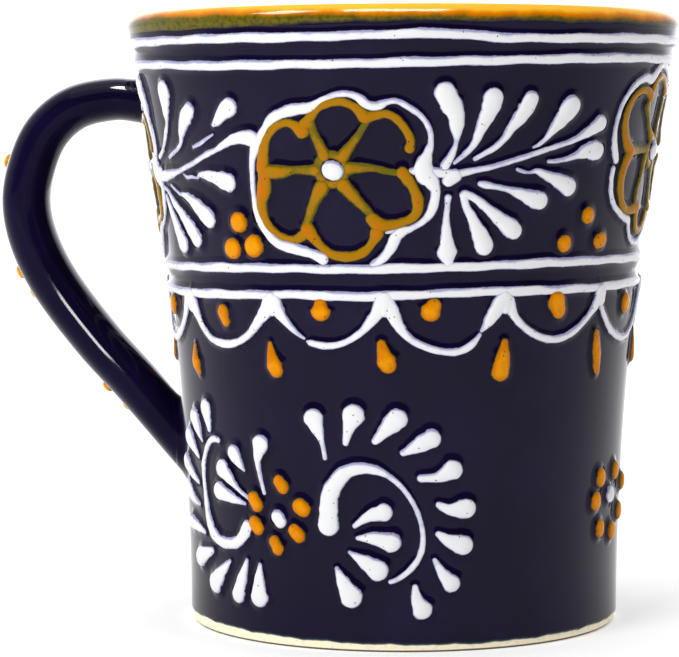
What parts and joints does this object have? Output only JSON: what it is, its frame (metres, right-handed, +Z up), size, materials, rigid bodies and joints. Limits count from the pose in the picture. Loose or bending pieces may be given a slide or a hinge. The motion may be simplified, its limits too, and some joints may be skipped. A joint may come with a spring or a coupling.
{
  "type": "clay mug",
  "caption": "Flared glazed clay mug with a looped handle, an amber lip and raised slip-trailed flowers, leaf sprays, swags and scrolls, for hot or cold drinks.",
  "frame": {"origin": "centre of the foot, on the axis of the cup, at table height", "axes": "+Z up along the cup's axis; the handle stands towards -X; the decorated front looks towards -Y"},
  "size_m": [0.118, 0.095, 0.105],
  "materials": {
    "clay": "bare fired cream clay, matt",
    "navy_glaze": "dark navy gloss glaze",
    "amber_glaze": "amber gloss glaze, olive where thin",
    "white_slip": "raised white slip, glossy, with pinholes",
    "amber_slip": "raised amber slip, glossy",
    "ochre_slip": "raised ochre slip, olive at its thin edges, glossy"
  },
  "bodies": {
    "root": {"cup_body": "clay", "outer_glaze": "navy_glaze", "inner_glaze": "navy_glaze", "lip_glaze": "amber_glaze", "handle": "navy_glaze", "handle_upper_lute": "navy_glaze", "handle_lower_lute": "navy_glaze", "upper_rim_line": "white_slip", "lower_rim_line": "white_slip", "upper_waist_line": "white_slip", "lower_waist_line": "white_slip", "garland_swags": "white_slip", "garland_dots": "amber_slip", "garland_drops": "amber_slip", "flower_outlines": "white_slip", "flower_petals": "ochre_slip", "flower_spokes": "ochre_slip", "flower_centres": "white_slip", "spray_stems": "white_slip", "spray_leaves": "white_slip", "triad_dots": "amber_slip", "scroll_curls": "white_slip", "scroll_outer_leaves": "white_slip", "scroll_inner_leaves": "white_slip", "rosette_dots": "amber_slip", "rosette_centres": "white_slip", "handle_dots": "amber_slip"}
  },
  "joints": []
}
